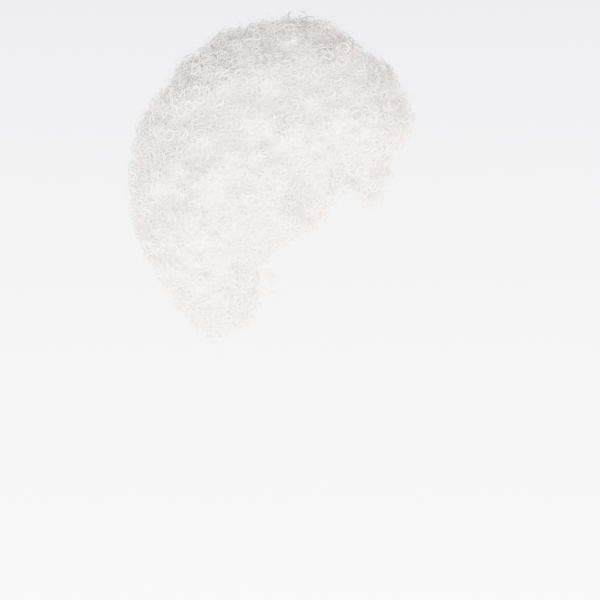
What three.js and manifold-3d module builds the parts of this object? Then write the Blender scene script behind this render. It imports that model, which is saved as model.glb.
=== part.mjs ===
// An afro wig: a hollow stretch cap and a round mass of tightly curled hair on it.
// The hair is sewn to the cap in groups of wefts, and each group is a solid of its own: the tufts that
// its locks gather into, fused to a core that lies against the cap.
// Millimetres. +Z is up, +X is the front of the wig, -Y its right side. The origin is inside the cap at
// the top of the crown, where the wig sits when it is worn.

import * as THREE from 'three';
import { mergeVertices } from 'three/addons/utils/BufferGeometryUtils.js';
import Module from 'manifold-3d';

const wasm = await Module();
wasm.setup();

// The hollow inside the cap, an egg that is round above and below its widest level
const hollowLength = 187;
const hollowBreadth = 150;
const crownToWidest = 105;
const widestToBase = 105;

// The cap: the net and the weft tracks sewn to it, in one wall
const capWall = 2;
const capSides = 28;
const capRows = 12;

// Heights of the cap's edge below the crown, at the hairline, the ear tabs, the ears and the nape
const hairlineDrop = 62;
const earTabDrop = 122;
const earDrop = 96;
const napeDrop = 166;

// The opening that goes on down from the hollow between the nape and the side locks
const openingLength = 96;
const openingBreadth = 104;
const openingForward = 14;

// The hair as it stands, from the outline of its tufts
const hairHeight = 365;
const hairDepth = 329;
const hairWidth = 312;
const hairAboveCrown = 100;
const hairBehindCrown = 177;
const hairSquareness = 2.25;

// The core under the tufts
const coreDepth = 17;
const coreSides = 20;
const coreRows = 16;

// The tufts that the locks gather into
const tuftWidth = 60;
const tuftLength = 56;
const tuftPitch = 49;
const tuftUnevenness = 7;
const tuftWidthSpread = 0.12;
const tuftSides = 6;

// The fringe, which hangs below the hairline; lean and splay are what a lock's direction has forwards and
// sideways for each part that it has downwards
const fringeWidth = 104;
const fringeTuftWidth = 34;
const fringeTuftSlimness = 1.5;
const fringeLean = 0.35;
const fringeSplay = 0.5;

// Clearances
const seatGap = 0.3;
const weftGap = 0.4;

// Partings between the groups of wefts. The crown's and the fringe's are drops as shares of hairlineDrop;
// the others are distances ahead of the crown as shares of half the hollow's length.
const crownParting = 0.4;
const fringeParting = 1.32;
const fringeBackParting = 0.9;
const frontParting = 0.5;
const templeParting = 0.1;
const backParting = -0.72;

// The cap's edge from the front round to the back. turn is a share of half the way round, and the drop
// of a row is the sum of its shares of the four named drops.
const capEdge = [
  { turn: 0.0, hairline: 1.0, earTab: 0.0, ear: 0.0, nape: 0.0 },
  { turn: 0.22, hairline: 0.75, earTab: 0.25, ear: 0.0, nape: 0.0 },
  { turn: 0.36, hairline: 0.0, earTab: 1.0, ear: 0.0, nape: 0.0 },
  { turn: 0.52, hairline: 0.0, earTab: 0.0, ear: 1.0, nape: 0.0 },
  { turn: 0.68, hairline: 0.0, earTab: 0.0, ear: 0.2, nape: 0.8 },
  { turn: 1.0, hairline: 0.0, earTab: 0.0, ear: 0.0, nape: 1.0 },
];

// Sections of the hair from nape to crown. height is a share of hairHeight; front and back are shares of
// hairDepth from the rearmost tuft forwards; width is a share of hairWidth.
const hairSections = [
  { height: 0.0, front: 0.34, back: 0.32, width: 0.0 },
  { height: 0.045, front: 0.427, back: 0.203, width: 0.49 },
  { height: 0.11, front: 0.446, back: 0.14, width: 0.65 },
  { height: 0.19, front: 0.472, back: 0.084, width: 0.78 },
  { height: 0.26, front: 0.535, back: 0.042, width: 0.88 },
  { height: 0.31, front: 0.63, back: 0.018, width: 0.94 },
  { height: 0.355, front: 0.706, back: 0.006, width: 0.97 },
  { height: 0.395, front: 0.7, back: 0.003, width: 0.98 },
  { height: 0.425, front: 0.68, back: 0.003, width: 0.985 },
  { height: 0.455, front: 0.77, back: 0.0, width: 0.99 },
  { height: 0.508, front: 0.79, back: 0.0, width: 1.0 },
  { height: 0.535, front: 0.875, back: 0.0, width: 1.0 },
  { height: 0.585, front: 0.94, back: 0.003, width: 1.0 },
  { height: 0.645, front: 0.993, back: 0.025, width: 0.985 },
  { height: 0.725, front: 0.98, back: 0.063, width: 0.935 },
  { height: 0.805, front: 0.94, back: 0.126, width: 0.845 },
  { height: 0.87, front: 0.882, back: 0.2, width: 0.73 },
  { height: 0.915, front: 0.805, back: 0.262, width: 0.61 },
  { height: 0.955, front: 0.745, back: 0.322, width: 0.47 },
  { height: 0.98, front: 0.68, back: 0.42, width: 0.3 },
  { height: 1.0, front: 0.57, back: 0.55, width: 0.0 },
];

// Big tufts that break the outline, from the peak down to the front and then down to the back: shares of
// hairDepth forwards, of hairHeight up and of hairWidth sideways, with the size as a share of tuftWidth
const outlineTufts = [
  { forward: 0.594, up: 0.945, side: 0.0, size: 0.75 },
  { forward: 0.52, up: 0.92, side: -0.12, size: 0.75 },
  { forward: 0.72, up: 0.89, side: 0.05, size: 0.7 },
  { forward: 0.86, up: 0.8, side: 0.02, size: 0.72 },
  { forward: 0.375, up: 0.9, side: 0.0, size: 0.8 },
  { forward: 0.215, up: 0.8, side: 0.03, size: 0.7 },
];

// Rows of the fringe from the hairline down. drop is a share of hairlineDrop below the hairline, ahead a
// share of fringeTuftWidth in front of the hollow, spread a share of fringeWidth.
const fringeRows = [
  { drop: 0.12, ahead: 0.55, spread: 1.0, tufts: 5, size: 1.1 },
  { drop: 0.4, ahead: 0.28, spread: 0.86, tufts: 4, size: 1.0 },
  { drop: 0.68, ahead: 0.12, spread: 0.6, tufts: 3, size: 0.78 },
];

// Small tufts over the cap's edge between the fringe and the ears, the same on both sides. turn is a share
// of half the way round, down a share of the way from the crown to the edge, ahead and size are shares of
// fringeTuftWidth.
const hairlineTufts = [
  { turn: 0.13, down: 0.84, ahead: 0.62, size: 1.05 },
  { turn: 0.15, down: 1.0, ahead: 0.42, size: 0.8 },
  { turn: 0.2, down: 0.84, ahead: 0.6, size: 1.05 },
  { turn: 0.22, down: 1.0, ahead: 0.42, size: 0.85 },
  { turn: 0.26, down: 0.8, ahead: 0.62, size: 1.1 },
  { turn: 0.28, down: 0.94, ahead: 0.45, size: 0.95 },
  { turn: 0.34, down: 0.76, ahead: 0.7, size: 1.15 },
  { turn: 0.35, down: 0.93, ahead: 0.55, size: 1.05 },
  { turn: 0.42, down: 0.9, ahead: 0.6, size: 1.1 },
];

// A lock from its root to its end. out is a share of half its width, along a share of its length from the end.
const lockProfile = [
  { out: 0.0, along: 1.0 },
  { out: 1.0, along: 0.42 },
  { out: 0.7, along: 0.1 },
  { out: 0.0, along: 0.0 },
];

// A solid that can be cut and joined, from a closed shape
function toSolid(geometry) {
  const bare = geometry.clone();
  bare.deleteAttribute('normal');
  bare.deleteAttribute('uv');
  const merged = mergeVertices(bare);
  return new wasm.Manifold(new wasm.Mesh({
    numProp: 3,
    vertProperties: new Float32Array(merged.attributes.position.array),
    triVerts: new Uint32Array(merged.index.array),
  }));
}

// The shape of a solid, for its mesh
function toGeometry(solid) {
  const { vertProperties, triVerts } = solid.getMesh();
  const geometry = new THREE.BufferGeometry();
  geometry.setAttribute('position', new THREE.BufferAttribute(vertProperties, 3));
  geometry.setIndex(new THREE.BufferAttribute(triVerts, 1));
  geometry.computeVertexNormals();
  return geometry;
}

// The row of a table at a value of its key column, with each column in proportion between the two rows
// around it
function between(rows, key, value) {
  const last = rows.length - 1;
  const clamped = THREE.MathUtils.clamp(value, rows[0][key], rows[last][key]);
  const next = Math.max(1, rows.findIndex((row) => row[key] >= clamped));
  const [low, high] = [rows[next - 1], rows[next]];
  const share = (clamped - low[key]) / (high[key] - low[key]);
  return Object.fromEntries(Object.keys(low).map((column) =>
    [column, low[column] + (high[column] - low[column]) * share]));
}

// A unit ball with its poles on Z
function ball(around, down) {
  return new THREE.SphereGeometry(1, around, down).rotateX(Math.PI / 2);
}

// The hollow's egg, grown by a clearance or a wall
function hollowForm(grow) {
  const form = ball(capSides, capRows);
  const position = form.attributes.position;
  for (let i = 0; i < position.count; i += 1) {
    const z = position.getZ(i);
    const rise = (z > 0 ? crownToWidest : widestToBase) + grow;
    position.setXYZ(
      i,
      position.getX(i) * (hollowLength / 2 + grow),
      position.getY(i) * (hollowBreadth / 2 + grow),
      z * rise - crownToWidest,
    );
  }
  return toSolid(form);
}

// How far below the crown the cap's edge lies at an azimuth from the front
function edgeDrop(azimuth) {
  const row = between(capEdge, 'turn', Math.abs(azimuth) / Math.PI);
  return row.hairline * hairlineDrop + row.earTab * earTabDrop + row.ear * earDrop + row.nape * napeDrop;
}

// What lies under the cap's edge: a drum whose top fans out from the axis through the edge
function belowTheEdge() {
  const reach = hollowLength;
  const middle = -(hairlineDrop + napeDrop) / 2;
  const floor = -2 * (crownToWidest + widestToBase) - napeDrop;
  const drum = new THREE.CylinderGeometry(1, 1, 1, 2 * capSides, 1).rotateX(Math.PI / 2);
  const position = drum.attributes.position;
  for (let i = 0; i < position.count; i += 1) {
    const [x, y] = [position.getX(i), position.getY(i)];
    const edgeReach = 1 / Math.hypot(x / (hollowLength / 2), y / (hollowBreadth / 2));
    const rim = middle - (edgeDrop(Math.atan2(y, x)) + middle) * reach / edgeReach;
    const onAxis = Math.hypot(x, y) < 0.5;
    const top = onAxis ? middle : rim;
    position.setXYZ(i, x * reach, y * reach, position.getZ(i) > 0 ? top : floor);
  }
  return toSolid(drum);
}

function wigCap() {
  return hollowForm(capWall).subtract(hollowForm(0)).subtract(belowTheEdge());
}

// A point of the hair's outline. height runs from 0 at the nape to 1 at the top, azimuth from the front;
// each section is a superellipse between its front and its back.
function outlinePoint(height, azimuth) {
  const section = between(hairSections, 'height', height);
  const front = section.front * hairDepth - hairBehindCrown;
  const back = section.back * hairDepth - hairBehindCrown;
  const bulge = (value) => Math.sign(value) * Math.abs(value) ** (2 / hairSquareness);
  return new THREE.Vector3(
    (front + back) / 2 + (front - back) / 2 * bulge(Math.cos(azimuth)),
    section.width * hairWidth / 2 * bulge(Math.sin(azimuth)),
    hairAboveCrown + (height - 1) * hairHeight,
  );
}

// The outline's outward direction, from two short steps along it
function outlineNormal(height, azimuth) {
  const step = 0.01;
  const low = Math.max(0, height - step);
  const high = Math.min(1, height + step);
  const around = outlinePoint(height, azimuth + step).sub(outlinePoint(height, azimuth - step));
  const upward = outlinePoint(high, azimuth).sub(outlinePoint(low, azimuth));
  return around.cross(upward).normalize();
}

// The outline's mean profile: its length, and the height at a share of that length from the nape
function meanProfile() {
  const samples = 400;
  const lengths = [0];
  const radius = (height) => {
    const section = between(hairSections, 'height', height);
    return ((section.front - section.back) * hairDepth + section.width * hairWidth) / 4;
  };
  for (let i = 1; i <= samples; i += 1) {
    const growth = radius(i / samples) - radius((i - 1) / samples);
    lengths.push(lengths[i - 1] + Math.hypot(hairHeight / samples, growth));
  }
  const total = lengths[samples];
  const heightAt = (share) => {
    const length = THREE.MathUtils.clamp(share, 0, 1) * total;
    const next = Math.max(1, lengths.findIndex((passed) => passed >= length));
    const part = (length - lengths[next - 1]) / (lengths[next] - lengths[next - 1]);
    return (next - 1 + part) / samples;
  };
  return { total, heightAt };
}

const profile = meanProfile();

// The core of the hair: the outline, set in towards the middle of each section, and at the nape and the
// crown along the height as well
function hairCore() {
  const core = ball(coreSides, coreRows);
  const position = core.attributes.position;
  for (let i = 0; i < position.count; i += 1) {
    const point = new THREE.Vector3().fromBufferAttribute(position, i);
    const azimuth = Math.atan2(point.y, point.x);
    const fromTop = Math.acos(THREE.MathUtils.clamp(point.z, -1, 1)) / Math.PI;
    const height = profile.heightAt(1 - fromTop);
    const place = outlinePoint(height, azimuth);
    const middle = outlinePoint(height, 0).add(outlinePoint(height, Math.PI)).multiplyScalar(0.5);
    const inward = middle.sub(place);
    const reach = inward.length();
    place.addScaledVector(inward, reach > 0 ? Math.min(1, coreDepth / reach) : 0);
    const fromMiddle = 2 * height - 1;
    place.z -= coreDepth * Math.sign(fromMiddle) * fromMiddle ** 4;
    position.setXYZ(i, place.x, place.y, place.z);
  }
  return toSolid(core);
}

// One tuft: a lock that widens from its root to a round end. The end touches the place, and the lock
// points along the direction.
function tuft(place, direction, width, length, turn) {
  const outline = lockProfile.map(({ out, along }) => new THREE.Vector2(out * width / 2, -along * length));
  const lock = new THREE.LatheGeometry(outline, tuftSides).rotateX(Math.PI / 2);
  lock.rotateZ(turn);
  lock.applyQuaternion(new THREE.Quaternion().setFromUnitVectors(new THREE.Vector3(0, 0, 1), direction));
  lock.translate(place.x, place.y, place.z);
  return toSolid(lock);
}

// An uneven share from 0 to 1 that is the same for a number each time, in golden steps
function uneven(number) {
  const goldenStep = 0.618034;
  const start = 0.37;
  return (number * goldenStep + start) % 1;
}

// Whether a point of the outline lies in the way into the hollow
function inTheHollow(point) {
  const down = Math.max(0, (point.z + crownToWidest) / crownToWidest);
  const round = Math.hypot(point.x / (hollowLength / 2), point.y / (hollowBreadth / 2));
  return point.x > 0 && Math.hypot(round, down) < 1;
}

// Places spread evenly over the outline. Closely spaced places are gone through from the nape up, and one
// is kept where no kept place is nearer than the pitch and it isn't in the way into the hollow.
function spreadPlaces() {
  const placesInPitch = 6;
  const fine = tuftPitch / placesInPitch;
  const rows = Math.round(profile.total / fine);
  const kept = [];
  for (let row = 0; row < rows; row += 1) {
    const height = profile.heightAt((row + 0.5) / rows);
    const section = between(hairSections, 'height', height);
    const girth = Math.PI * ((section.front - section.back) * hairDepth + section.width * hairWidth) / 2;
    const count = Math.max(1, Math.round(girth / fine));
    for (let i = 0; i < count; i += 1) {
      const azimuth = 2 * Math.PI * i / count;
      const place = outlinePoint(height, azimuth);
      const clear = kept.every((other) => other.place.distanceTo(place) >= tuftPitch);
      if (clear && !inTheHollow(place)) {
        kept.push({ place, normal: outlineNormal(height, azimuth) });
      }
    }
  }
  return kept;
}

// Tufts at the spread places, of uneven width and set in by uneven amounts
function spreadTufts() {
  return spreadPlaces().map(({ place, normal }, i) => {
    place.addScaledVector(normal, -tuftUnevenness * uneven(i));
    const width = tuftWidth * (1 + tuftWidthSpread * (2 * uneven(i + 7) - 1));
    return tuft(place, normal, width, tuftLength, Math.PI * uneven(i + 3));
  });
}

// The big tufts of the outline, which point away from the middle of the cap
function bigTufts() {
  const middle = new THREE.Vector3(0, 0, -crownToWidest / 2);
  return outlineTufts.map((row, i) => {
    const centre = new THREE.Vector3(
      row.forward * hairDepth - hairBehindCrown,
      row.side * hairWidth,
      hairAboveCrown + (row.up - 1) * hairHeight,
    );
    const direction = centre.clone().sub(middle).normalize();
    const width = tuftWidth * row.size;
    centre.addScaledVector(direction, width / 2);
    return tuft(centre, direction, width, Math.max(width, tuftLength), uneven(i));
  });
}

// The fringe's tufts, which hang in front of the hollow's own round
function fringeTufts() {
  return fringeRows.flatMap((row) => {
    const width = fringeTuftWidth * row.size;
    return Array.from({ length: row.tufts }, (_, i) => {
      const side = ((i + 0.5) / row.tufts - 0.5) * row.spread;
      const drop = hairlineDrop * (1 + row.drop);
      const level = (crownToWidest - drop) / crownToWidest;
      const across = side * fringeWidth / (hollowBreadth / 2);
      const front = hollowLength / 2 * Math.sqrt(Math.max(0, 1 - level ** 2 - across ** 2));
      const tip = new THREE.Vector3(front + row.ahead * fringeTuftWidth, side * fringeWidth, -drop);
      const direction = new THREE.Vector3(fringeLean, side * fringeSplay, -1).normalize();
      tip.addScaledVector(direction, width / 2);
      return tuft(tip, direction, width, width * fringeTuftSlimness, uneven(i));
    });
  });
}

// Tufts over the cap's edge in front of the ears, which point out from the cap and a little down
function edgeTufts() {
  return [-1, 1].flatMap((side) => hairlineTufts.map((row, i) => {
    const azimuth = side * row.turn * Math.PI;
    const drop = edgeDrop(azimuth);
    const belowWidest = drop > crownToWidest;
    const rim = (crownToWidest - drop) / (belowWidest ? widestToBase : crownToWidest);
    const polar = row.down * Math.acos(rim);
    const out = new THREE.Vector3(
      Math.sin(polar) * Math.cos(azimuth),
      Math.sin(polar) * Math.sin(azimuth),
      Math.cos(polar),
    );
    const width = fringeTuftWidth * row.size;
    const reach = capWall + row.ahead * fringeTuftWidth;
    const rise = (Math.cos(polar) > 0 ? crownToWidest : widestToBase) + reach;
    const tip = new THREE.Vector3(
      out.x * (hollowLength / 2 + reach),
      out.y * (hollowBreadth / 2 + reach),
      out.z * rise - crownToWidest,
    );
    const direction = out.add(new THREE.Vector3(0, 0, -fringeLean)).normalize();
    return tuft(tip, direction, width, width * fringeTuftSlimness, uneven(i));
  }));
}

// The room that the hair leaves free: the cap with its hollow, and the opening on down from there
function freeRoom() {
  const below = new THREE.CylinderGeometry(1, 1, 1, capSides).rotateX(Math.PI / 2);
  const top = -crownToWidest;
  const bottom = hairAboveCrown - hairHeight - tuftLength;
  below.scale(openingLength / 2, openingBreadth / 2, top - bottom);
  below.translate(openingForward, 0, (top + bottom) / 2);
  return hollowForm(capWall + seatGap).add(toSolid(below));
}

function hairMass() {
  const tufts = [...spreadTufts(), ...bigTufts(), ...fringeTufts(), ...edgeTufts()];
  return wasm.Manifold.union([hairCore(), ...tufts]).subtract(freeRoom());
}

// A block between two corners, grown by a clearance
function block(low, high, grow) {
  const margin = new THREE.Vector3(grow, grow, grow);
  const bounds = new THREE.Box3(low.clone().sub(margin), high.clone().add(margin));
  const span = bounds.getSize(new THREE.Vector3());
  const centre = bounds.getCenter(new THREE.Vector3());
  return toSolid(new THREE.BoxGeometry(span.x, span.y, span.z).translate(centre.x, centre.y, centre.z));
}

// The biggest body of a cut, without crumbs that the cut's planes leave of a neighbour's tufts
function wholeBody(solid) {
  return solid.decompose().sort((a, b) => b.volume() - a.volume())[0];
}

// The groups of wefts in the order in which they are cut from the mass, each with the blocks it fills
function weftGroups() {
  const far = hairHeight + hairDepth + hairWidth;
  const crownLevel = -hairlineDrop * crownParting;
  const fringeLevel = -hairlineDrop * fringeParting;
  const napeLevel = -napeDrop;
  const fringeBackLine = hollowLength / 2 * fringeBackParting;
  const frontLine = hollowLength / 2 * frontParting;
  const templeLine = hollowLength / 2 * templeParting;
  const backLine = hollowLength / 2 * backParting;
  const fringeSide = (fringeWidth + fringeTuftWidth / 2) / 2;
  const at = (x, y, z) => new THREE.Vector3(x, y, z);
  return [
    { name: 'crown_wefts', blocks: [[at(-far, -far, crownLevel), at(far, far, far)]] },
    {
      name: 'fringe_locks',
      blocks: [[at(fringeBackLine, -fringeSide, -far), at(far, fringeSide, fringeLevel)]],
    },
    {
      name: 'front_wefts',
      blocks: [
        [at(frontLine, -far, fringeLevel), at(far, far, far)],
        [at(fringeBackLine, -far, -far), at(far, far, far)],
      ],
    },
    { name: 'nape_wefts', blocks: [[at(-far, -far, -far), at(far, far, napeLevel)]] },
    { name: 'back_wefts', blocks: [[at(-far, -far, -far), at(backLine, far, far)]] },
    { name: 'right_temple_locks', blocks: [[at(templeLine, -far, -far), at(far, 0, fringeLevel)]] },
    { name: 'left_temple_locks', blocks: [[at(templeLine, 0, -far), at(far, far, fringeLevel)]] },
    { name: 'right_side_wefts', blocks: [[at(-far, -far, -far), at(far, 0, far)]] },
    { name: 'left_side_wefts', blocks: [[at(-far, 0, -far), at(far, far, far)]] },
  ];
}

// Each group is what its blocks hold of the hair that the groups before it left, less the gap to them
function cutWefts() {
  let rest = hairMass();
  return weftGroups().map(({ name, blocks }) => {
    const filled = (grow) => wasm.Manifold.union(blocks.map(([low, high]) => block(low, high, grow)));
    const solid = wholeBody(rest.intersect(filled(0)));
    rest = rest.subtract(filled(weftGap));
    return { name, solid };
  });
}

function namedMesh(name, solid, material) {
  const mesh = new THREE.Mesh(toGeometry(solid), material.clone());
  mesh.name = name;
  return mesh;
}

const curledHair = new THREE.MeshStandardMaterial({ color: 0xf1eeeb, roughness: 0.75, metalness: 0 });
const stretchNet = new THREE.MeshStandardMaterial({ color: 0xe6ded4, roughness: 0.85, metalness: 0 });

const wig = new THREE.Group();
wig.add(namedMesh('wig_cap', wigCap(), stretchNet));
for (const { name, solid } of cutWefts()) {
  wig.add(namedMesh(name, solid, curledHair));
}

export default wig;
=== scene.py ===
"""A white afro wig in metres: tight ringlets of synthetic fibre on a hollow stretch cap.

The hair is a soft bed that follows the tufts of all the groups of wefts, with ringlets that spring from
it, fine flyaway hairs over them and a few loose locks that hang free. Each group has ringlets and
flyaways of its own. The cap is a net with weft tracks and a hem. Every shape is worked out as whole
arrays, and each function gives its formula in words.
"""

import math
from functools import reduce

import bpy
import numpy as np
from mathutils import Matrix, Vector


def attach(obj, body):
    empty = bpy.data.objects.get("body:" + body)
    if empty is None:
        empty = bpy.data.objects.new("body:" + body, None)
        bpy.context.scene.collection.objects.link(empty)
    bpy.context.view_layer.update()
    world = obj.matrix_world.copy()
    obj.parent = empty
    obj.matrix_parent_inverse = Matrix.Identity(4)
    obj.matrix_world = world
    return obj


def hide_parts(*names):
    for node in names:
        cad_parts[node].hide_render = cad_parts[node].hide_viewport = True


MM = 0.001
TURN = 2 * math.pi

# The photograph: its side and the wig's origin in pixels, and a pixel's size at the wig's middle plane
PHOTO_SIDE = 600
ORIGIN_PIXEL = (284, 105)
PIXEL = 1.15 * MM
CAMERA_DISTANCE = 2.2
SENSOR_WIDTH = 36.0

# The stage, a round bowl of pale paper whose glow is painted light: the floor's level, its radius and that
# of the one flat face in its middle, the bend up from it, the wall's height, its sides and the rows of its
# bend
FLOOR_LEVEL = -1.5
STAGE_RADIUS = 2.2
STAGE_HUB = 0.01
STAGE_BEND = 1.8
STAGE_HEIGHT = 6.5
STAGE_SIDES = 96
BEND_ROWS = 17

# The paper: its own colour, how bright its painted glow is at most, the levels between which it grows
# dimmer, and the colours of its light at the lower and at the upper one
PAPER_COLOUR = (0.2, 0.2, 0.205, 1)
PAPER_GLOW = 9.8
PAPER_LEVELS = (-1.2, 0.9)
PAPER_LIGHTS = ((1.0, 1.0, 1.0, 1), (0.43, 0.43, 0.52, 1))

# The wig is lit by even light from all round, of this brightness and colour, and by softboxes, not by the
# paper
AIR_GLOW = 1.25
AIR_COLOUR = (0.86, 0.94, 1.0, 1)

# The softboxes: name, place, width, power and colour. Each shines at the middle of the hair.
SOFTBOXES = (
    ("right_softbox", (0.1, -1.85, -1.15), 2.5, 570, (1.0, 0.895, 0.8)),
    ("left_softbox", (0.8, 1.65, -0.9), 1.5, 360, (1.0, 0.93, 0.87)),
    ("rear_softbox", (-1.65, 0.85, -0.9), 0.9, 170, (1.0, 0.95, 0.91)),
)
HAIR_MIDDLE = (0.0, 0.0, -0.1)

# The finishes' colours: curls at their warm painted shade by the root and at their whitest, the bed's gaps
# in warm painted shade and its turns of curls, and the net's gaps and its threads
FIBRE_SHADE_COLOURS = ((0.925, 0.865, 0.825, 1), (0.98, 0.98, 0.978, 1))
BED_SHADE_COLOURS = ((0.84, 0.765, 0.71, 1), (0.96, 0.94, 0.925, 1))
NET_COLOURS = ((0.3, 0.26, 0.22, 1), (0.86, 0.84, 0.81, 1))

# What their tones are added up from: of the fibre the curl's own tone, which holds the painted shade at its
# root, the slow drift and the clumps, of the bed its turns on painted shade and its drift, each with what is
# then taken off, and of the net its threads and its tape
FIBRE_TONE = (0.7, 0.4, 1.2, 0.75)
BED_TONE = (0.7, 0.5, 0.1)
NET_TONE = (0.5, 0.6)

# The turns of curls drawn on the bed: the scale and the radius of each layer's turns, how sharp their lines
# are and how far the pattern is warped
BED_TURNS = ((72.0, 0.36), (88.0, 0.33), (110.0, 0.3))
TURN_SHARPNESS = 9.0
TURN_WARP = 0.006

# The hollow that the cap is made round, and the cap's wall and edge, as in the CAD part
HOLLOW_LENGTH = 187 * MM
HOLLOW_BREADTH = 150 * MM
CROWN_TO_WIDEST = 105 * MM
HOLLOW_HALF = np.array([HOLLOW_LENGTH / 2, HOLLOW_BREADTH / 2, CROWN_TO_WIDEST])
HOLLOW_MIDDLE = np.array([0, 0, -CROWN_TO_WIDEST])
CAP_WALL = 2 * MM
EDGE_TURNS = (0.0, 0.22, 0.36, 0.52, 0.68, 1.0)
EDGE_DROPS = (62 * MM, 77 * MM, 122 * MM, 96 * MM, 152 * MM, 166 * MM)

# The partings between the groups of wefts, as in the CAD part
CROWN_PARTING = -24.8 * MM
FRINGE_PARTING = -81.8 * MM
NAPE_PARTING = -166 * MM
FRINGE_BACK = 84.2 * MM
FRINGE_SIDE = 60.5 * MM
FRONT_PARTING = 46.8 * MM
TEMPLE_PARTING = 9.4 * MM
BACK_PARTING = -67.3 * MM

# Smooth unevenness: how many waves it adds up, how far their lengths spread, and the factor that brings
# their mean to about -1 to 1
WAVES = 14
WAVE_SPREAD = (0.7, 1.4)
WAVE_FACTOR = 2.6

# The bed under the curls: the decimals by which corners are equal, its voxel, how far it lies inside the
# tufts, how often it is relaxed, its lumps, its gap to the cap and how near to the cap it bears no curls
EQUAL_DECIMALS = 7
VOXEL = 4.5 * MM
BED_DEPTH = 5.5 * MM
BED_ROUNDING = 6
LUMP_SIZES = (26 * MM, 11 * MM)
LUMP_HEIGHTS = (1.6 * MM, 0.8 * MM)
CAP_GAP = 0.5 * MM
CAP_REACH = 10 * MM

# The cap's own finish: its sides and rows, the distance between weft tracks, how thick their tape is, the
# share of the way down where the hem starts, how steeply it rises, and the net's threads round the cap and
# down it
CAP_SIDES = 120
CAP_ROWS = 84
TRACK_GAP = 14 * MM
TAPE = 0.9 * MM
HEM_START = 0.96
HEM_RISE = 2
NET_THREADS = (330, 150)

# The curls that spring from the bed. Ranges are low and high: the radius of a turn, the turns, half the
# thickness, and how high a curl's last turn lies over the tufts. few is the power by which the high ones
# grow rarer, root how deep a curl starts, tilt how far its axis may lean from the surface's normal, area
# what one of them covers. The open ringlets lean least, so that their rings show.
CURLS = {
    "deep_ringlets": {
        "radius": (3.6 * MM, 6.4 * MM),
        "turns": (1.1, 1.6),
        "half": (0.42 * MM, 0.7 * MM),
        "top": (-3.0 * MM, 0.5 * MM),
        "few": 1.0,
        "root": -7.0 * MM,
        "tilt": 1.0,
        "area": 85 * MM * MM,
        "steps": 14,
    },
    "ringlets": {
        "radius": (4.0 * MM, 6.8 * MM),
        "turns": (1.25, 1.9),
        "half": (0.5 * MM, 0.85 * MM),
        "top": (0.5 * MM, 7.5 * MM),
        "few": 1.4,
        "root": -6.5 * MM,
        "tilt": 1.2,
        "area": 120 * MM * MM,
        "steps": 17,
    },
    "open_ringlets": {
        "radius": (4.6 * MM, 7.2 * MM),
        "turns": (1.6, 2.4),
        "half": (0.75 * MM, 1.05 * MM),
        "top": (4.5 * MM, 9.0 * MM),
        "few": 1.0,
        "root": -6.0 * MM,
        "tilt": 0.55,
        "area": 500 * MM * MM,
        "steps": 20,
    },
    "flyaways": {
        "radius": (3.0 * MM, 6.5 * MM),
        "turns": (0.7, 1.4),
        "half": (0.14 * MM, 0.24 * MM),
        "top": (2.0 * MM, 15.0 * MM),
        "few": 1.3,
        "root": -3.0 * MM,
        "tilt": 1.5,
        "area": 62 * MM * MM,
        "steps": 11,
    },
}
TUBE_SIDES = 3
PIECE_LIMIT = 190_000

# What every curl shares: the part of its radius that it has at its root, how far the radius wavers, how
# flat its turns may be, how steeply its tips open, and how much of its tone grows along it: painted shade
# that is darkest at the root
ROOT_OPENING = 0.66
WAVER = 0.1
OVAL = (0.75, 1.0)
TIP_RISE = 8
ROOT_SHADE_SHARE = 0.62

# Loose locks that hang free of the hair's edge on each side, read from the photograph: where each springs
# from the hair and where its last turn lies, in pixels, its radius and its turns. Then half the locks'
# thickness, their steps, how far their axes may lean, how far out of the hair their tips reach, and how many
# points of the bed give a root its depth.
LOOSE_LOCKS = (
    ((261, 262), (276, 281), 4.4 * MM, 3.2),
    ((262, 276), (275, 299), 5.8 * MM, 1.9),
    ((258, 258), (264, 264), 6.4 * MM, 2.3),
    ((262, 272), (271, 277), 4.8 * MM, 2.2),
    ((254, 300), (259, 309), 5.6 * MM, 2.4),
    ((247, 312), (252, 322), 6.4 * MM, 2.6),
    ((243, 322), (246, 329), 5.4 * MM, 2.1),
    ((257, 286), (264, 292), 5.0 * MM, 2.2),
    ((272, 243), (279, 251), 5.4 * MM, 2.0),
    ((286, 232), (292, 240), 5.8 * MM, 2.2),
    ((300, 230), (306, 236), 5.2 * MM, 2.0),
    ((312, 222), (318, 228), 5.8 * MM, 2.3),
    ((316, 206), (323, 212), 6.0 * MM, 2.2),
    ((318, 196), (327, 198), 5.0 * MM, 1.8),
    ((352, 176), (358, 182), 5.2 * MM, 2.0),
    ((370, 196), (371, 208), 5.6 * MM, 2.2),
    ((377, 180), (381, 190), 5.0 * MM, 1.9),
)
LOCK_HALF = (0.55 * MM, 0.75 * MM)
LOCK_STEPS = 28
LOCK_TILT = 0.6
LOCK_REACH = (1 * MM, 7 * MM)
LOCK_NEIGHBOURS = 6

# The least length and the least share of an egg that anything is divided by
LEAST_LENGTH = 1e-12
LEAST_SHARE = 1e-6

SEED = 7
rng = np.random.default_rng(SEED)


def unit(vectors):
    """Each vector divided by its length."""
    return vectors / np.maximum(np.linalg.norm(vectors, axis=-1, keepdims=True), LEAST_LENGTH)


def drawn(low_high, count):
    """Random numbers spread evenly from the low value to the high one."""
    return rng.uniform(*low_high, size=count)


def waves(points, size, seed):
    """Smooth unevenness of about -1 to 1: the sum of sine waves of about the given length, each along a
    random direction with a random phase."""
    draw = np.random.default_rng(seed)
    directions = unit(draw.normal(size=(WAVES, 3))) * draw.uniform(*WAVE_SPREAD, size=(WAVES, 1))
    phases = draw.uniform(0, TURN, size=WAVES)
    return np.sin(points @ directions.T * (TURN / size) + phases).mean(axis=1) * WAVE_FACTOR


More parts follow.
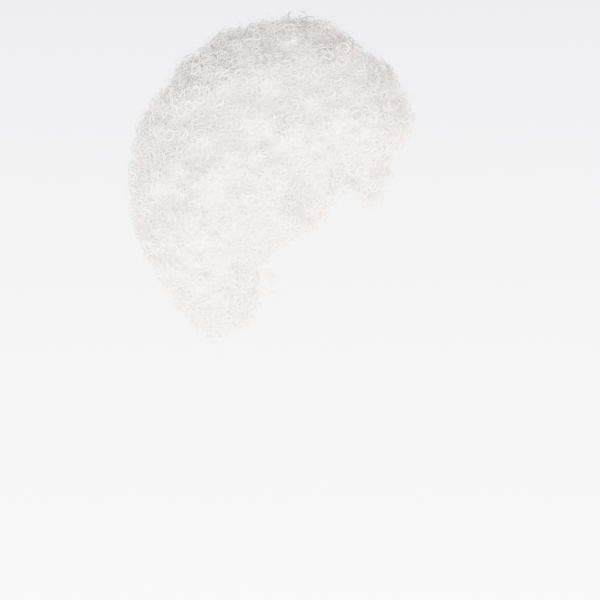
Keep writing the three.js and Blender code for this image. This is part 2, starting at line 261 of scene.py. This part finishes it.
def make_piece(name, points, faces, material, tone=None, uv=None):
    """A mesh object from its points and from arrays of faces, each array with one number of corners. tone
    holds a number for each point, uv an array for each array of faces with its corners' places."""
    mesh = bpy.data.meshes.new(name)
    corners = np.concatenate([block.ravel() for block in faces])
    sizes = np.concatenate([np.full(len(block), block.shape[1]) for block in faces])
    starts = np.concatenate([[0], np.cumsum(sizes)[:-1]])
    mesh.vertices.add(len(points))
    mesh.vertices.foreach_set("co", points.astype(np.float32).ravel())
    mesh.loops.add(len(corners))
    mesh.loops.foreach_set("vertex_index", corners.astype(np.int32))
    mesh.polygons.add(len(sizes))
    mesh.polygons.foreach_set("loop_start", starts.astype(np.int32))
    mesh.update(calc_edges=True)
    mesh.polygons.foreach_set("use_smooth", np.ones(len(sizes), dtype=bool))
    if tone is not None:
        mesh.attributes.new("tone", "FLOAT", "POINT").data.foreach_set("value", tone.astype(np.float32))
    if uv is not None:
        layer = mesh.uv_layers.new(name="UVMap")
        places = np.concatenate([block.reshape(-1, 2) for block in uv])
        layer.uv.foreach_set("vector", places.astype(np.float32).ravel())
    mesh.materials.append(material)
    piece = bpy.data.objects.new(name, mesh)
    bpy.context.scene.collection.objects.link(piece)
    return piece


class Shade:
    """A socket of a material that can be reckoned with: + - * and abs add Math nodes to it."""

    def __init__(self, tree, socket):
        self.tree = tree
        self.socket = socket

    def node(self, kind, settings=None, out=0, **values):
        """Adds a node with its settings, then its sockets' values or links, and gives its output. A
        socket's name is written with _ for a space, and a number after _ picks the socket by its place."""
        node = self.tree.nodes.new(kind)
        for key, value in (settings or {}).items():
            setattr(node, key, value)
        for key, value in values.items():
            name = key.lstrip("_").replace("_", " ")
            socket = node.inputs[int(name)] if name.isdigit() else node.inputs[name]
            if isinstance(value, Shade):
                self.tree.links.new(value.socket, socket)
            else:
                socket.default_value = value
        return Shade(self.tree, node.outputs[out])

    def output(self, number):
        """Another output of this value's own node."""
        return Shade(self.tree, self.socket.node.outputs[number])

    def math(self, operation, other=0.0, first=None):
        """A Math node on this value and another, or on the first value and the other."""
        first = self if first is None else first
        return self.node("ShaderNodeMath", {"operation": operation}, _0=first, _1=other)

    def __add__(self, other):
        return self.math("ADD", other)

    def __radd__(self, other):
        return self.math("ADD", self, other)

    def __sub__(self, other):
        return self.math("SUBTRACT", other)

    def __rsub__(self, other):
        return self.math("SUBTRACT", self, other)

    def __mul__(self, other):
        return self.math("MULTIPLY", other)

    def __rmul__(self, other):
        return self.math("MULTIPLY", self, other)

    def __abs__(self):
        return self.math("ABSOLUTE")

    def highest(self, other):
        """The larger of this value and another."""
        return self.math("MAXIMUM", other)

    def clamp(self):
        """This value held between 0 and 1."""
        return self.node("ShaderNodeClamp", Value=self)

    def mix(self, dark, light):
        """A colour between two, by this value."""
        return self.node("ShaderNodeMix", {"data_type": "RGBA"}, out=2, _0=self, _6=dark, _7=light)

    def feed(self, shader, name):
        """Links this value to one of the shader's inputs."""
        self.tree.links.new(self.socket, shader.inputs[name])


def new_material(name, **constants):
    """A material with one Principled shader, its constants set on its own sockets."""
    material = bpy.data.materials.new(name)
    material.use_nodes = True
    tree = material.node_tree
    shader = tree.nodes["Principled BSDF"]
    for key, value in constants.items():
        shader.inputs[key.replace("_", " ")].default_value = value
    return material, Shade(tree, None), shader


def curl_material():
    """White curled fibre. Its tone runs from warm painted shade at a curl's root to white at its tip, with
    the curl's own share, clumps of paler and warmer curls and a slow drift over the wig. Filaments run along
    it as bump, by its UV map."""
    material, start, shader = new_material(
        "curled_fibre", Roughness=0.5, Sheen_Weight=0.25, Sheen_Roughness=0.45, Specular_IOR_Level=0.35)
    own = start.node("ShaderNodeAttribute", {"attribute_name": "tone"}, out=2)
    place = start.node("ShaderNodeTexCoord", out=3)
    drift = start.node("ShaderNodeTexNoise", Vector=place, Scale=16.0, Detail=2.0)
    clump = start.node("ShaderNodeTexNoise", Vector=place, Scale=48.0, Detail=1.0)
    of_own, of_drift, of_clump, less = FIBRE_TONE
    tone = own * of_own + drift * of_drift + clump * of_clump - less
    # Painted shade: the low tone by each curl's root gives the warm, darker end of the colours.
    tone.clamp().mix(*FIBRE_SHADE_COLOURS).feed(shader, "Base Color")
    along = start.node("ShaderNodeUVMap", {"uv_map": "UVMap"})
    drawn_out = start.node("ShaderNodeMapping", Vector=along, Scale=(1.5, 9.0, 1.0))
    filaments = start.node("ShaderNodeTexNoise", {"noise_dimensions": "2D"}, Vector=drawn_out, Scale=2.0)
    start.node("ShaderNodeBump", Strength=0.4, Distance=0.0004, Height=filaments).feed(shader, "Normal")
    return material


def bed_material():
    """The hair between the ringlets: turns of curls seen deep down. Each layer of turns is where the
    distance to the nearest of scattered centres is close to a turn's radius. Turns are light on warm gaps of
    painted shade, and stand up as bump."""
    material, start, shader = new_material("bed_fibre", Roughness=0.7, Sheen_Weight=0.2, Sheen_Roughness=0.5)
    place = start.node("ShaderNodeTexCoord", out=3)
    warp = start.node("ShaderNodeTexNoise", out=1, Vector=place, Scale=60.0, Detail=1.0)
    moved = start.node("ShaderNodeVectorMath", {"operation": "MULTIPLY_ADD"},
                       _0=warp, _1=(TURN_WARP,) * 3, _2=place)
    layers = []
    for scale, radius in BED_TURNS:
        distance = start.node("ShaderNodeTexVoronoi", Vector=moved, Scale=scale)
        layers.append((1.0 - abs(distance - radius) * TURN_SHARPNESS).clamp())
    turns = reduce(Shade.highest, layers)
    drift = start.node("ShaderNodeTexNoise", Vector=place, Scale=28.0, Detail=3.0)
    of_turns, of_drift, less = BED_TONE
    tone = turns * of_turns + drift * of_drift - less
    # Painted shade: the gaps between the turns take the darker, warmer colour.
    tone.clamp().mix(*BED_SHADE_COLOURS).feed(shader, "Base Color")
    start.node("ShaderNodeBump", Strength=0.8, Distance=0.0015, Height=turns).feed(shader, "Normal")
    return material


def net_material():
    """The cap's net: threads that cross in a fine grid by the cap's own UV map, lighter than its gaps. The
    tape of the weft tracks and the hem, by the cap's tone, is lighter still."""
    material, start, shader = new_material("cap_net", Roughness=0.85, Sheen_Weight=0.25)
    place = start.node("ShaderNodeUVMap", {"uv_map": "UVMap"})
    across = start.node("ShaderNodeSeparateXYZ", Vector=place)
    threads = [(axis * (TURN * count)).math("SINE")
               for axis, count in zip((across, across.output(1)), NET_THREADS)]
    mesh = (threads[0].highest(threads[1]) * 0.5 + 0.5).clamp()
    tape = start.node("ShaderNodeAttribute", {"attribute_name": "tone"}, out=2)
    of_mesh, of_tape = NET_TONE
    shown = (mesh * of_mesh + tape * of_tape).clamp()
    shown.mix(*NET_COLOURS).feed(shader, "Base Color")
    start.node("ShaderNodeBump", Strength=0.5, Distance=0.0005, Height=mesh).feed(shader, "Normal")
    return material


def aim(obj, place, target):
    """Puts a camera or a light at a place with its -Z towards the target."""
    obj.location = place
    obj.rotation_euler = (Vector(target) - Vector(place)).to_track_quat("-Z", "Y").to_euler()


def add_camera():
    """The camera looks along +Y at the pixel in the photograph's middle. Its lens makes the photograph's
    side, at the wig's middle plane, fill the picture."""
    across = (PHOTO_SIDE / 2 - ORIGIN_PIXEL[0]) * PIXEL
    level = (ORIGIN_PIXEL[1] - PHOTO_SIDE / 2) * PIXEL
    data = bpy.data.cameras.new("camera")
    data.sensor_width = SENSOR_WIDTH
    data.lens = CAMERA_DISTANCE * SENSOR_WIDTH / (PHOTO_SIDE * PIXEL)
    camera = bpy.data.objects.new("camera", data)
    bpy.context.scene.collection.objects.link(camera)
    aim(camera, (across, -CAMERA_DISTANCE, level), (across, 0.0, level))
    bpy.context.scene.camera = camera
    bpy.context.scene.view_settings.view_transform = "AgX"


def add_light(name, place, width, power, colour):
    """A round softbox that shines at the middle of the hair and isn't seen itself."""
    data = bpy.data.lights.new(name, "AREA")
    data.shape = "DISK"
    data.size = width
    data.energy = power
    data.color = colour
    light = bpy.data.objects.new(name, data)
    light.visible_camera = False
    bpy.context.scene.collection.objects.link(light)
    aim(light, place, HAIR_MIDDLE)


def add_stage():
    """A pale bowl: the floor bends up through a quarter circle and stands as a wall. Its profile is a line,
    an arc and a line, turned round the Z axis."""
    bend = np.linspace(0, TURN / 4, BEND_ROWS)
    wall = STAGE_RADIUS + STAGE_BEND
    reach = np.concatenate([[STAGE_HUB], STAGE_RADIUS + STAGE_BEND * np.sin(bend), [wall]])
    rise = np.concatenate([[0.0], STAGE_BEND * (1 - np.cos(bend)), [STAGE_HEIGHT]]) + FLOOR_LEVEL
    azimuth = TURN * np.arange(STAGE_SIDES) / STAGE_SIDES
    across = reach[:, None] * np.cos(azimuth)
    deep = reach[:, None] * np.sin(azimuth)
    points = np.stack([across, deep, np.broadcast_to(rise[:, None], across.shape)], axis=-1)
    quads, _ = ring_quads(len(reach), STAGE_SIDES)
    material, start, shader = new_material(
        "pale_paper", Base_Color=PAPER_COLOUR, Roughness=0.9, Emission_Strength=PAPER_GLOW)
    # Painted light: the paper glows, brightest low down and dimmer and bluer towards the top.
    level = start.node("ShaderNodeSeparateXYZ", out=2, Vector=start.node("ShaderNodeTexCoord", out=3))
    low, high = PAPER_LEVELS
    dim = ((level - low) * (1 / (high - low))).clamp()
    dim.mix(*PAPER_LIGHTS).feed(shader, "Emission Color")
    bowl = make_piece("backdrop", points.reshape(-1, 3), [quads, np.arange(STAGE_SIDES)[None]], material)
    bowl.visible_diffuse = False
    bowl.visible_glossy = False
    bowl.visible_shadow = False


def add_world():
    """Even light from all round."""
    world = bpy.data.worlds.new("studio")
    world.use_nodes = True
    background = world.node_tree.nodes["Background"]
    background.inputs["Color"].default_value = AIR_COLOUR
    background.inputs["Strength"].default_value = AIR_GLOW
    bpy.context.scene.world = world


def egg(points, grow):
    """How far out a point lies from the middle of the hollow's egg, where 1 is on the egg grown by a wall."""
    return np.linalg.norm((points - HOLLOW_MIDDLE) / (HOLLOW_HALF + grow), axis=-1)


def edge_drop(azimuth):
    """How far under the crown the cap's edge lies: straight lines between the named drops."""
    return np.interp(np.abs(azimuth) / np.pi, EDGE_TURNS, EDGE_DROPS)


def above_the_edge(points):
    """Whether each point is higher than the cap's edge at its azimuth."""
    return points[..., 2] > -edge_drop(np.arctan2(points[..., 1], points[..., 0]))


def owned(points):
    """The group of wefts that each point belongs to, by the partings: the first group in this order whose
    bounds hold it."""
    x, y, z = points.T
    right = y < 0
    low = z < FRINGE_PARTING
    groups = {
        "crown_wefts": z > CROWN_PARTING,
        "fringe_locks": (x > FRINGE_BACK) & (np.abs(y) < FRINGE_SIDE) & low,
        "front_wefts": (x > FRINGE_BACK) | ((x > FRONT_PARTING) & ~low),
        "nape_wefts": z < NAPE_PARTING,
        "back_wefts": x < BACK_PARTING,
        "right_temple_locks": (x > TEMPLE_PARTING) & low & right,
        "left_temple_locks": (x > TEMPLE_PARTING) & low,
        "right_side_wefts": right,
        "left_side_wefts": ~right,
    }
    return list(groups), np.select(list(groups.values()), range(len(groups)))


def node_triangles(name):
    """A CAD node's triangles as points, from its mesh."""
    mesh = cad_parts[name].data
    points = np.empty(len(mesh.vertices) * 3, dtype=np.float32)
    mesh.vertices.foreach_get("co", points)
    mesh.calc_loop_triangles()
    corners = np.empty(len(mesh.loop_triangles) * 3, dtype=np.int32)
    mesh.loop_triangles.foreach_get("vertices", corners)
    return points.reshape(-1, 3)[corners.reshape(-1, 3)]


def remeshed(triangles):
    """One even net of quads round closed shells: points and faces. The shells' equal corners are joined
    first, and a gap between shells that is narrower than a voxel closes."""
    points, index = np.unique(np.round(triangles.reshape(-1, 3), EQUAL_DECIMALS), axis=0,
                              return_inverse=True)
    mesh = bpy.data.meshes.new("merged")
    mesh.from_pydata(points.tolist(), [], index.reshape(-1, 3).tolist())
    body = bpy.data.objects.new("merged", mesh)
    bpy.context.scene.collection.objects.link(body)
    wrap = body.modifiers.new("wrap", "REMESH")
    wrap.mode = "VOXEL"
    wrap.voxel_size = VOXEL
    even = bpy.data.meshes.new_from_object(body.evaluated_get(bpy.context.evaluated_depsgraph_get()))
    places = np.empty(len(even.vertices) * 3, dtype=np.float32)
    even.vertices.foreach_get("co", places)
    corners = np.empty(len(even.loops), dtype=np.int32)
    even.loops.foreach_get("vertex_index", corners)
    bpy.data.objects.remove(body)
    bpy.data.meshes.remove(mesh)
    bpy.data.meshes.remove(even)
    return places.reshape(-1, 3).astype(float), corners.reshape(-1, 4)


def quad_facts(points, quads):
    """Centre, outward normal and area of each quad, from its diagonals."""
    corner = points[quads]
    cross = np.cross(corner[:, 2] - corner[:, 0], corner[:, 3] - corner[:, 1])
    return corner.mean(axis=1), unit(cross), np.linalg.norm(cross, axis=1) / 2


def point_normals(points, quads):
    """Each point's normal: the sum of its quads' normals by area."""
    _, normal, area = quad_facts(points, quads)
    weighted = np.repeat(normal * area[:, None], 4, axis=0)
    total = np.stack([np.bincount(quads.ravel(), weighted[:, i], len(points)) for i in range(3)], axis=1)
    return unit(total)


def relaxed(points, quads, rounds):
    """Points moved halfway to the mean of their neighbours, round after round."""
    pairs = np.concatenate([quads[:, [i, (i + 1) % 4]] for i in range(4)])
    pairs = np.concatenate([pairs, pairs[:, ::-1]])
    count = np.bincount(pairs[:, 0], minlength=len(points))[:, None]
    for _ in range(rounds):
        near = [np.bincount(pairs[:, 0], points[pairs[:, 1], i], len(points)) for i in range(3)]
        points = (points + np.stack(near, axis=1) / count) / 2
    return points


def off_the_cap(points):
    """Points inside the cap's outer face and above its edge are moved out to a little off that face."""
    outward = egg(points, CAP_WALL + CAP_GAP)[:, None]
    moved = HOLLOW_MIDDLE + (points - HOLLOW_MIDDLE) / np.maximum(outward, LEAST_SHARE)
    return np.where((outward < 1) & above_the_edge(points)[:, None], moved, points)


def hair_bed(names, material):
    """The soft body under all the curls: the groups remeshed as one and relaxed, set in by BED_DEPTH along
    the normals with two sizes of lumps. Gives the piece, and centre, normal and area of each quad of the
    tufts' own surface that isn't against the cap."""
    points, quads = remeshed(np.concatenate([node_triangles(name) for name in names]))
    points = relaxed(points, quads, BED_ROUNDING)
    normals = point_normals(points, quads)
    against = (egg(points + normals * CAP_REACH, CAP_WALL) < 1) & above_the_edge(points)
    lumps = sum(waves(points, size, SEED + i) * height
                for i, (size, height) in enumerate(zip(LUMP_SIZES, LUMP_HEIGHTS)))
    inward = np.where(against, 0.0, BED_DEPTH - lumps)[:, None]
    piece = make_piece("hair_bed", off_the_cap(points - normals * inward), [quads], material)
    centre, normal, area = quad_facts(points, quads)
    free = ~against[quads].all(axis=1)
    return piece, centre[free], normal[free], area[free]


def square_to(axes):
    """Two directions square to each axis and to each other, the first one random."""
    first = rng.normal(size=axes.shape)
    first = unit(first - (first * axes).sum(axis=-1, keepdims=True) * axes)
    return first, np.cross(axes, first)


def spread_roots(centre, normal, area, each):
    """Roots spread over quads by their area: even steps along the running sum of areas, each moved a little
    at random within its step and over its quad."""
    total = np.cumsum(area)
    count = int(total[-1] / each)
    steps = (np.arange(count) + rng.uniform(size=count)) * total[-1] / count
    pick = np.minimum(np.searchsorted(total, steps), len(area) - 1)
    side, other = square_to(normal[pick])
    reach = np.sqrt(area[pick])[:, None] / 2
    slide = rng.uniform(-1, 1, size=(2, count, 1))
    return centre[pick] + (side * slide[0] + other * slide[1]) * reach, normal[pick]


def curl_tubes(start, end, axes, radius, turns, half, steps):
    """Closed tubes along curls, as points of each curl, and each point's tone. A curl's middle line runs
    from start to end, quickly at first, while the curl turns round its axis at a radius that opens from two
    thirds and wavers. The tube's section lies in the plane of the axis and of the way out from it, and
    narrows to a point at both ends. The tone grows along the curl from painted shade at the root, with a
    share of the curl's own."""
    count = len(start)
    along = np.linspace(0, 1, steps)
    middle = start[:, None] + (end - start)[:, None] * (1 - (1 - along) ** 2)[:, None]
    angle = drawn((0, TURN), count)[:, None] + TURN * turns[:, None] * along
    waver = 1 + WAVER * np.sin(2 * angle + drawn((0, TURN), count)[:, None])
    reach = radius[:, None] * (ROOT_OPENING + (1 - ROOT_OPENING) * along) * waver
    oval = drawn(OVAL, count)[:, None]
    first, second = square_to(axes)
    out = np.cos(angle)[..., None] * first[:, None] + (oval * np.sin(angle))[..., None] * second[:, None]
    path = middle + out * reach[..., None]
    fade = np.sqrt(np.clip(np.minimum(along, 1 - along) * TIP_RISE, 0, 1))
    thick = half[:, None] * fade
    around = TURN * np.arange(TUBE_SIDES) / TUBE_SIDES
    spread = np.cos(around)[:, None] * unit(out)[:, :, None] + np.sin(around)[:, None] * axes[:, None, None]
    rings = path[:, 1:-1, None] + spread[:, 1:-1] * thick[:, 1:-1, None, None]
    points = np.concatenate([path[:, :1], rings.reshape(count, -1, 3), path[:, -1:]], axis=1)
    share = np.concatenate([along[:1], np.repeat(along[1:-1], TUBE_SIDES), along[-1:]])
    # The tone is lowest at the root: painted shade deep in the hair.
    tone = ROOT_SHADE_SHARE * share + (1 - ROOT_SHADE_SHARE) * rng.uniform(size=(count, 1))
    return points, tone


def ring_quads(rings, sides):
    """Quads between neighbouring closed rings of points, and how far along and round each corner lies."""
    row, side = np.meshgrid(np.arange(rings - 1), np.arange(sides), indexing="ij")
    rows = np.stack([row, row + 1, row + 1, row], axis=-1)
    columns = np.stack([side, side, side + 1, side + 1], axis=-1)
    quads = rows * sides + columns % sides
    places = np.stack([rows / (rings - 1), columns / sides], axis=-1)
    return quads.reshape(-1, 4), places.reshape(-1, 4, 2)


def tube_faces(count, steps):
    """Faces of tubes whose points are a tip, rings of corners and a tip, with their corners' places: quads
    between rings, and triangles at each tip."""
    rings = steps - 2
    each = rings * TUBE_SIDES + 2
    quads, places = ring_quads(rings, TUBE_SIDES)
    corner = np.arange(TUBE_SIDES)
    turned = (corner + 1) % TUBE_SIDES
    last = 1 + (rings - 1) * TUBE_SIDES
    tips = np.concatenate([
        np.stack([np.zeros(TUBE_SIDES, int), 1 + corner, 1 + turned], axis=1),
        np.stack([np.full(TUBE_SIDES, each - 1), last + turned, last + corner], axis=1),
    ])
    tip_places = np.zeros((len(tips), 3, 2))
    tip_places[TUBE_SIDES:, :, 0] = 1.0
    shift = (np.arange(count) * each)[:, None, None]
    faces = [(quads + 1 + shift).reshape(-1, 4), (tips + shift).reshape(-1, 3)]
    return faces, [np.tile(places, (count, 1, 1)), np.tile(tip_places, (count, 1, 1))]


def curl_pieces(label, points, tone, steps, material):
    """Curls as one piece, or as more where the limit of triangles asks for it."""
    each = 2 * TUBE_SIDES * (steps - 2)
    parts = max(1, math.ceil(len(points) * each / PIECE_LIMIT))
    pieces = []
    for number, pick in enumerate(np.array_split(np.arange(len(points)), parts)):
        faces, places = tube_faces(len(pick), steps)
        name = label if parts == 1 else f"{label}_{number + 1}"
        pieces.append(make_piece(name, points[pick].reshape(-1, 3), faces, material,
                                 tone=tone[pick].ravel(), uv=places))
    return pieces


def grown_curls(roots, normals, kind):
    """Curls of one kind that spring from the bed at the roots, but for those that would cut into the cap."""
    count = len(roots)
    lean, _ = square_to(normals)
    axes = unit(normals + lean * drawn((0, kind["tilt"]), count)[:, None])
    start = roots + normals * kind["root"]
    low, high = kind["top"]
    height = low + (high - low) * rng.uniform(size=count) ** kind["few"]
    end = roots + normals * height[:, None]
    points, tone = curl_tubes(start, end, axes, drawn(kind["radius"], count), drawn(kind["turns"], count),
                              drawn(kind["half"], count), kind["steps"])
    clear = ((egg(points, CAP_WALL) > 1) | ~above_the_edge(points)).all(axis=1)
    return points[clear], tone[clear]


def loose_locks(bed_points):
    """Locks in pairs, one on each side. Each root takes its depth from the nearest point of the bed on its
    side, seen from the side, and the lock's axis points roughly out of the wig to that side."""
    columns = list(zip(*LOOSE_LOCKS))
    ends = np.array([columns[1], columns[0]], dtype=float)
    ends = ends[:, :, None].repeat(2, axis=2).reshape(2, -1, 2)
    side = np.tile([-1.0, 1.0], len(LOOSE_LOCKS))
    flat = (ends - ORIGIN_PIXEL) * [PIXEL, -PIXEL]
    depth = np.empty(len(side))
    for sign in (-1, 1):
        half = bed_points[bed_points[:, 1] * sign > 0]
        gap = np.linalg.norm(flat[1][side == sign][:, None] - half[:, [0, 2]], axis=-1)
        near = np.argsort(gap, axis=1)[:, :LOCK_NEIGHBOURS]
        depth[side == sign] = half[near, 1].mean(axis=1)
    tip, root = (np.insert(place, 1, depth, axis=1) for place in flat)
    tip[:, 1] += side * drawn(LOCK_REACH, len(side))
    lean, _ = square_to(np.tile([0.0, 1.0, 0.0], (len(side), 1)))
    axes = unit(side[:, None] * [0.0, 1.0, 0.0] + lean * drawn((0, LOCK_TILT), len(side))[:, None])
    radius, turns = (np.array(column).repeat(2) for column in columns[2:])
    return curl_tubes(root, tip, axes, radius, turns, drawn(LOCK_HALF, len(side)), LOCK_STEPS)


def add_cap(material):
    """The cap: an outer and an inner egg from the crown down to the edge, joined at the rim. The inner one
    has ridges of tape. Where a sine wave down the cap is above 0, its square is a weft track's ridge, and
    the hem rises in a straight line to its full thickness. The tone is 1 on the tape."""
    azimuth = np.linspace(-np.pi, np.pi, CAP_SIDES, endpoint=False)
    edge = np.arccos(1 - edge_drop(azimuth) / CROWN_TO_WIDEST)
    share = np.linspace(0, 1, CAP_ROWS + 1)[1:, None]
    polar = share * edge
    track = np.clip(np.sin(polar * CROWN_TO_WIDEST / TRACK_GAP * TURN), 0, 1) ** 2
    hem = np.clip((share - HEM_START) / (1 - HEM_START) * HEM_RISE, 0, 1)
    sewn = np.maximum(track, hem)
    out = np.stack([np.sin(polar) * np.cos(azimuth), np.sin(polar) * np.sin(azimuth), np.cos(polar)], axis=-1)
    outer = (HOLLOW_MIDDLE + out * (HOLLOW_HALF + CAP_WALL)).reshape(-1, 3)
    inner = (HOLLOW_MIDDLE + out * (HOLLOW_HALF - sewn[..., None] * TAPE)).reshape(-1, 3)
    crowns = np.array([[0, 0, CAP_WALL], [0, 0, 0]])
    skin, places = ring_quads(CAP_ROWS, CAP_SIDES)
    lining = skin[:, ::-1] + len(outer)
    column = np.arange(CAP_SIDES)
    beside = (column + 1) % CAP_SIDES
    low = (CAP_ROWS - 1) * CAP_SIDES
    rim = np.stack([column, column + len(outer), beside + len(outer), beside], axis=1) + low
    pole = len(outer) + len(inner)
    tops = np.concatenate([
        np.stack([np.full(CAP_SIDES, pole), column, beside], axis=1),
        np.stack([np.full(CAP_SIDES, pole + 1), beside + len(outer), column + len(outer)], axis=1),
    ])
    plain = [np.ones((CAP_SIDES, 4, 2)), np.zeros((2 * CAP_SIDES, 3, 2))]
    uv = [places[..., ::-1], places[:, ::-1, ::-1], *plain]
    tone = np.concatenate([sewn.ravel(), sewn.ravel(), np.zeros(len(crowns))])
    points = np.concatenate([outer, inner, crowns])
    return make_piece("wig_cap_net", points, [skin, lining, rim, tops], material, tone=tone, uv=uv)


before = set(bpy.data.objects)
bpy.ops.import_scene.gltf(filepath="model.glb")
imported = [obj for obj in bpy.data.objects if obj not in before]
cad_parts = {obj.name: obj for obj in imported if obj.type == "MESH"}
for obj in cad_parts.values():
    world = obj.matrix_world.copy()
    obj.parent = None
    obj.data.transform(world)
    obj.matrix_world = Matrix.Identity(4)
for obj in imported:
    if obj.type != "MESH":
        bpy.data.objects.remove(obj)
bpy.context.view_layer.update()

add_camera()
add_stage()
add_world()
for softbox in SOFTBOXES:
    add_light(*softbox)

hair_nodes = [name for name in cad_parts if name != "wig_cap"]
bed, centre, normal, area = hair_bed(hair_nodes, bed_material())
pieces = [bed]
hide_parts(*hair_nodes)

fibre = curl_material()
group_names, group = owned(centre)
for number, node in enumerate(group_names):
    own = group == number
    for label, kind in CURLS.items():
        roots, normals = spread_roots(centre[own], normal[own], area[own], kind["area"])
        points, tone = grown_curls(roots, normals, kind)
        pieces += curl_pieces(f"{node}_{label}", points, tone, kind["steps"], fibre)

points, tone = loose_locks(centre)
pieces += curl_pieces("loose_locks", points, tone, LOCK_STEPS, fibre)

for piece in pieces:
    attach(piece, "root")

cap = add_cap(net_material())
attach(cap, "root")
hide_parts("wig_cap")
